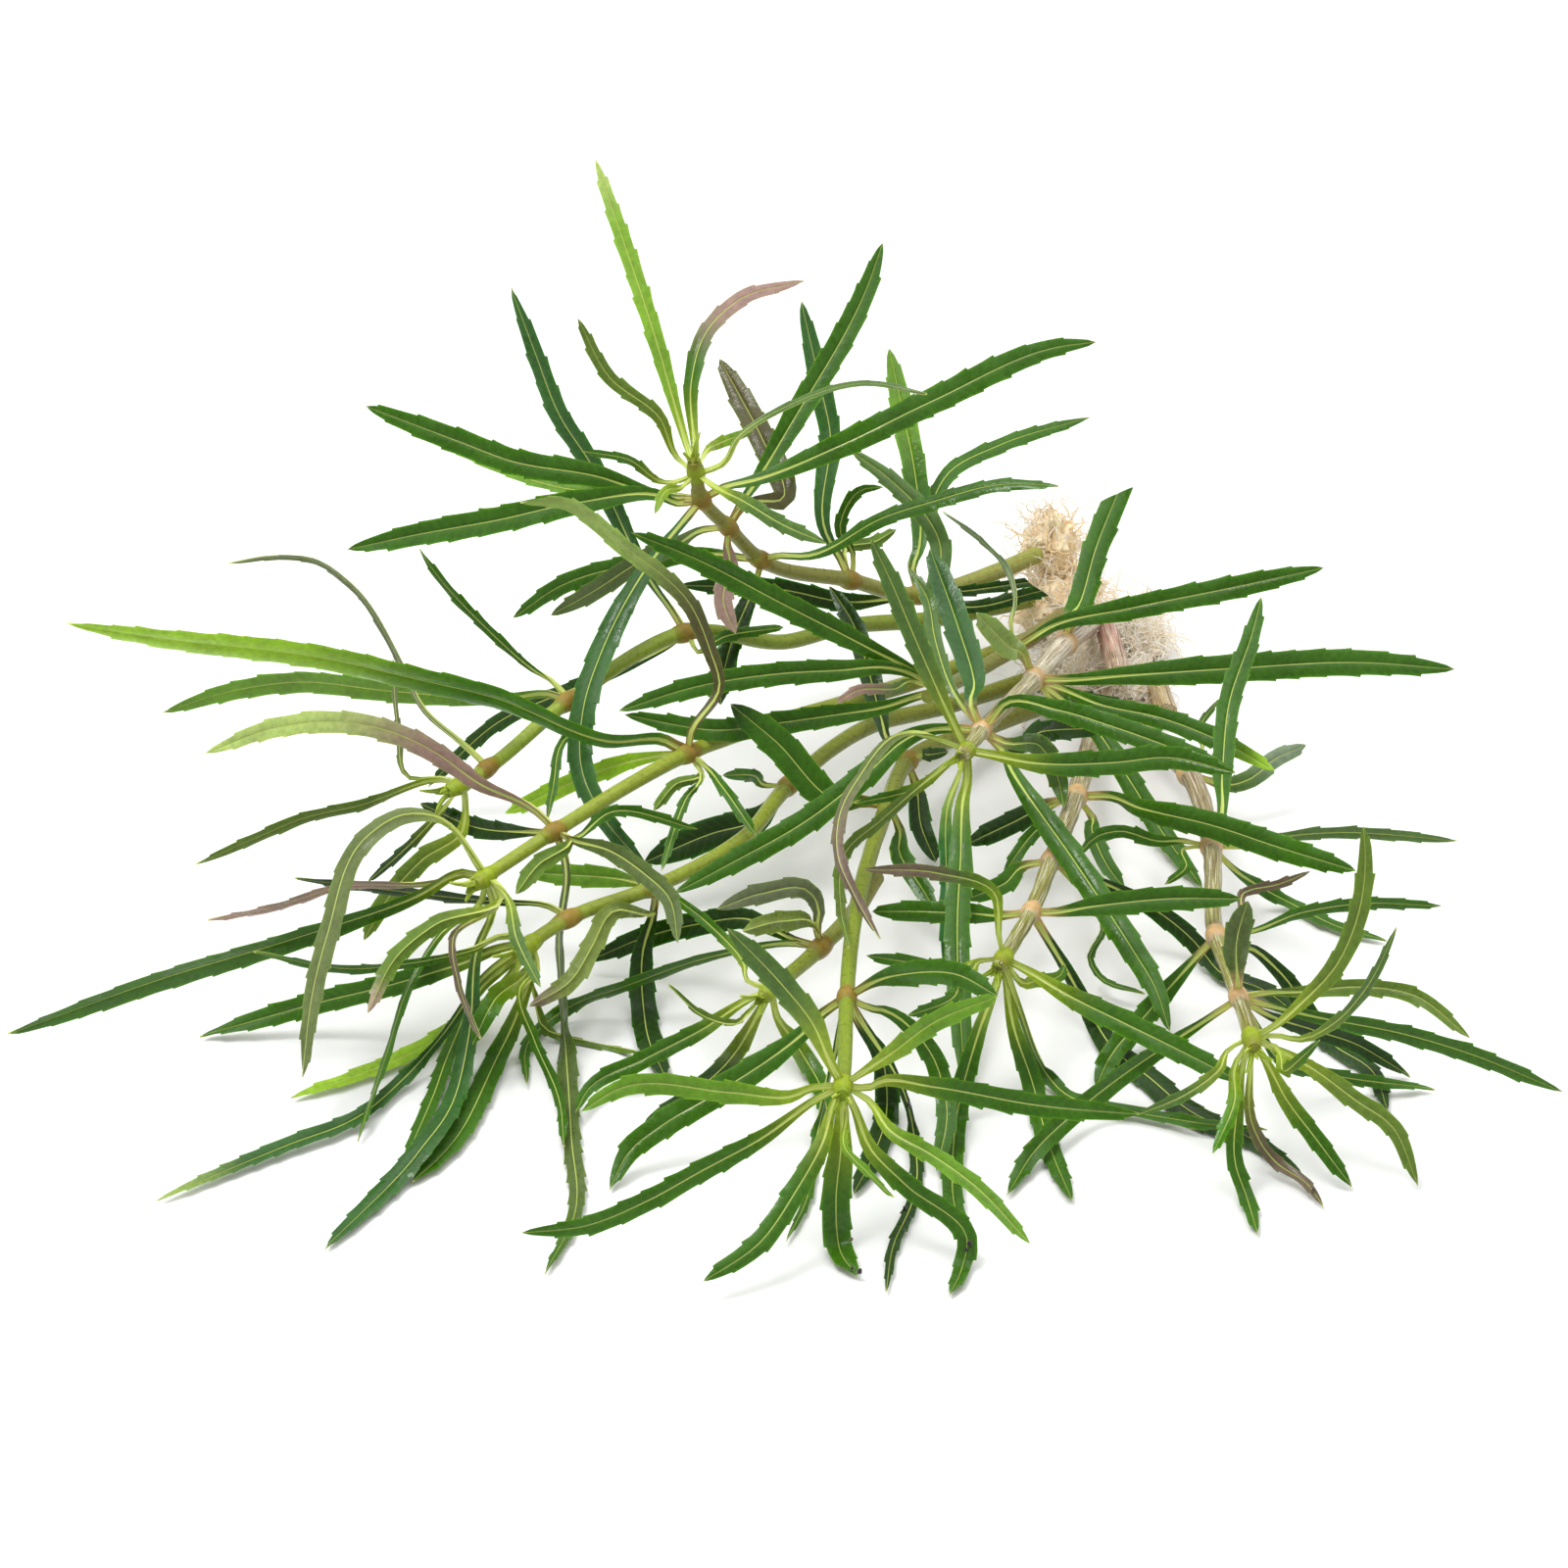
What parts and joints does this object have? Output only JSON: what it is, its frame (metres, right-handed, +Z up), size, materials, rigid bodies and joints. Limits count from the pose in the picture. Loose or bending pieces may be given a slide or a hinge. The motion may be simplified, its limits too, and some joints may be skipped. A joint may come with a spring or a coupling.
{
  "type": "pogostemon stellatus, rooted bunch",
  "caption": "Rooted bunch of a stem plant with whorls of long narrow toothed leaves on slender stems, lying on a surface.",
  "frame": {"origin": "centre of the bunch's bounding box, on the surface that it lies on", "axes": "+Z up; the roots are towards +Y and +X, the growing tips towards -Y; +X to the right in the picture"},
  "size_m": [0.2538, 0.2396, 0.1118],
  "materials": {
    "leaf": "wet, slightly glossy green leaf with a pale midrib",
    "stem": "smooth olive green stem",
    "old_stem": "streaked pale brown old stem",
    "root": "matt cream and tan root fibres"
  },
  "bodies": {
    "root": {"roots": "root", "stem_a": "stem", "stem_b": "stem", "stem_c": "stem", "stem_d": "stem", "stem_e": "old_stem", "stem_f": "stem", "stem_g": "old_stem", "stem_h": "old_stem", "stem_j": "stem", "stem_l": "stem", "stub_pink": "old_stem", "stub_tan": "old_stem", "whorl_a_tip": "leaf", "whorl_a4": "leaf", "whorl_a3": "leaf", "whorl_a2": "leaf", "whorl_a1": "leaf", "whorl_a0": "leaf", "whorl_l1": "leaf", "whorl_l0": "leaf", "whorl_e0": "leaf", "whorl_e1": "leaf", "whorl_e2": "leaf", "whorl_e_tip": "leaf", "whorl_f0": "leaf", "whorl_f1": "leaf", "whorl_f2": "leaf", "whorl_f_tip": "leaf", "whorl_j1": "leaf", "whorl_j_tip": "leaf", "whorl_g0": "leaf", "whorl_g1": "leaf", "whorl_g2": "leaf", "whorl_g_tip": "leaf", "whorl_h0": "leaf", "whorl_h1": "leaf", "whorl_h2": "leaf", "whorl_h3": "leaf", "whorl_h_tip": "leaf", "whorl_b0": "leaf", "whorl_b1": "leaf", "whorl_b2": "leaf", "whorl_b_tip": "leaf", "whorl_c0": "leaf", "whorl_c1": "leaf", "whorl_c_tip": "leaf", "whorl_d0": "leaf", "whorl_d1": "leaf", "whorl_d2": "leaf", "whorl_d_tip": "leaf"}
  },
  "joints": []
}
